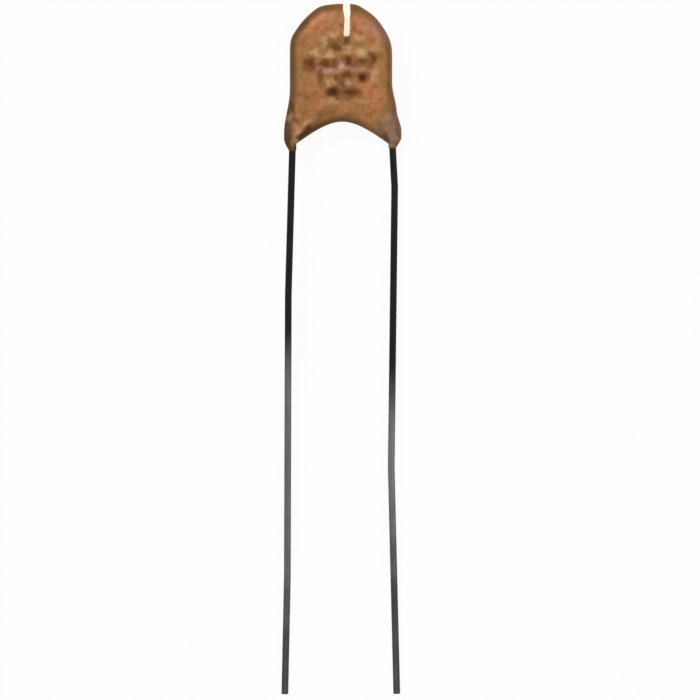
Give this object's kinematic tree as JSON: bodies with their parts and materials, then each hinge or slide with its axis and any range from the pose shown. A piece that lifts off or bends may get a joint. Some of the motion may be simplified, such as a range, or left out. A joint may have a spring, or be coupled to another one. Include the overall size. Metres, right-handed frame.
{
  "type": "ceramic disc capacitor",
  "caption": "Radial-lead ceramic disc capacitor: flat round body dipped in tan resin, with feet either side of a concave edge, and long, slightly bent wire leads.",
  "frame": {"origin": "on the disc's axis, in the flat of the coating's back that the part lies on", "axes": "+Z along the disc's axis, out of the marked front face; -Y from the disc towards the leads' free ends; +X to the right, seen from the front with the leads pointing down"},
  "size_m": [0.0087, 0.0501, 0.0025],
  "materials": {
    "resin": "semi-gloss mottled tan-brown dip",
    "white_paint": "matt white paint",
    "ceramic": "fired, matt",
    "silver": "fired silver film, satin",
    "solder": "reflowed, satin",
    "tinned_wire": "tarnished tin, satin"
  },
  "bodies": {
    "root": {"coating": "resin", "class_stripe": "white_paint", "ceramic_disc": "ceramic", "front_electrode": "silver", "back_electrode": "silver", "front_solder": "solder", "back_solder": "solder", "front_lead": "tinned_wire", "back_lead": "tinned_wire"}
  },
  "joints": []
}
